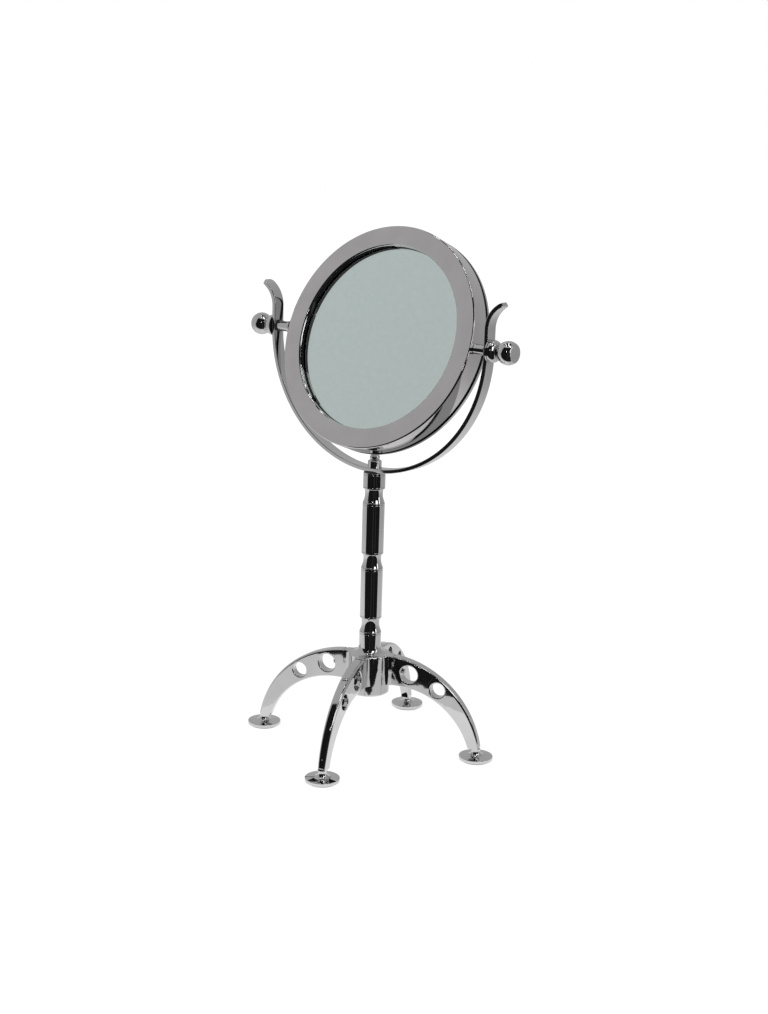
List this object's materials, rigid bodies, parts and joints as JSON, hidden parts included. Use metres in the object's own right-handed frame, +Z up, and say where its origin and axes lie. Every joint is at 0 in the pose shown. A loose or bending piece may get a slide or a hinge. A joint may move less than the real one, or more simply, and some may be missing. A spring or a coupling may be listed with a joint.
{
  "type": "table mirror",
  "caption": "Round tilting mirror in a chrome casing, held in a swivelling U-shaped yoke on a turned column with arched legs.",
  "frame": {"origin": "centre of the footprint, on the surface that the felt pads stand on", "axes": "+Z up along the column, X along the mirror's pivot axis, -Y towards the viewer whom the glass faces"},
  "size_m": [0.3408, 0.278, 0.5612],
  "materials": {
    "polished_chrome": "polished",
    "plain_steel": "satin",
    "black_nylon": "matte",
    "black_felt": "matte",
    "black_rubber": "matte",
    "silvered_glass": "polished",
    "hardboard": "matte",
    "grey_foam": "matte"
  },
  "bodies": {
    "base": {"hub": "polished_chrome", "leg_right": "polished_chrome", "leg_back": "polished_chrome", "leg_left": "polished_chrome", "leg_front": "polished_chrome", "leg_screws": "plain_steel", "foot_right": "polished_chrome", "foot_back": "polished_chrome", "foot_left": "polished_chrome", "foot_front": "polished_chrome", "foot_screws": "plain_steel", "pad_right": "black_felt", "pad_back": "black_felt", "pad_left": "black_felt", "pad_front": "black_felt", "column_base": "polished_chrome", "column_lower": "polished_chrome", "column_upper": "polished_chrome", "column_top": "polished_chrome", "tie_rod": "plain_steel", "rod_nut": "plain_steel", "rod_washer": "plain_steel", "finial_nut": "polished_chrome", "swivel_washer": "black_nylon"},
    "yoke": {"yoke": "polished_chrome"},
    "mirror_head": {"mirror_frame": "polished_chrome", "glass_gasket": "black_rubber", "mirror_glass": "silvered_glass", "backing_board": "hardboard", "foam_pad": "grey_foam", "back_cover": "polished_chrome", "cover_screws": "plain_steel", "pivot_boss_left": "polished_chrome", "pivot_boss_right": "polished_chrome", "friction_washer_left": "black_nylon", "friction_washer_right": "black_nylon"},
    "clamp_washer_left": {"knob_washer_left": "polished_chrome"},
    "clamp_washer_right": {"knob_washer_right": "polished_chrome"},
    "knob_left": {"knob_left": "polished_chrome"},
    "knob_right": {"knob_right": "polished_chrome"}
  },
  "joints": [
    {"name": "yoke_swivel", "type": "hinge", "parent": "base", "child": "yoke", "pos_m": [0, 0, 0.305], "axis": [0, 0, 1], "continuous": true},
    {"name": "mirror_tilt", "type": "hinge", "parent": "yoke", "child": "mirror_head", "pos_m": [0, 0, 0.4475], "axis": [1, 0, 0], "continuous": true},
    {"name": "knob_left_travel", "type": "slide", "parent": "mirror_head", "child": "clamp_washer_left", "axis": [-1, 0, 0], "range_m": [0, 0.002]},
    {"name": "knob_left_turn", "type": "hinge", "parent": "clamp_washer_left", "child": "knob_left", "pos_m": [-0.1628, 0, 0.4475], "axis": [-1, 0, 0], "range_deg": [0, 720]},
    {"name": "knob_right_travel", "type": "slide", "parent": "mirror_head", "child": "clamp_washer_right", "axis": [1, 0, 0], "range_m": [0, 0.002]},
    {"name": "knob_right_turn", "type": "hinge", "parent": "clamp_washer_right", "child": "knob_right", "pos_m": [0.1628, 0, 0.4475], "axis": [1, 0, 0], "range_deg": [0, 720]}
  ],
  "couplings": [
    {"joint": "knob_left_turn", "follows": "knob_left_travel", "rad_per_m": 6283.2},
    {"joint": "knob_right_turn", "follows": "knob_right_travel", "rad_per_m": 6283.2}
  ]
}
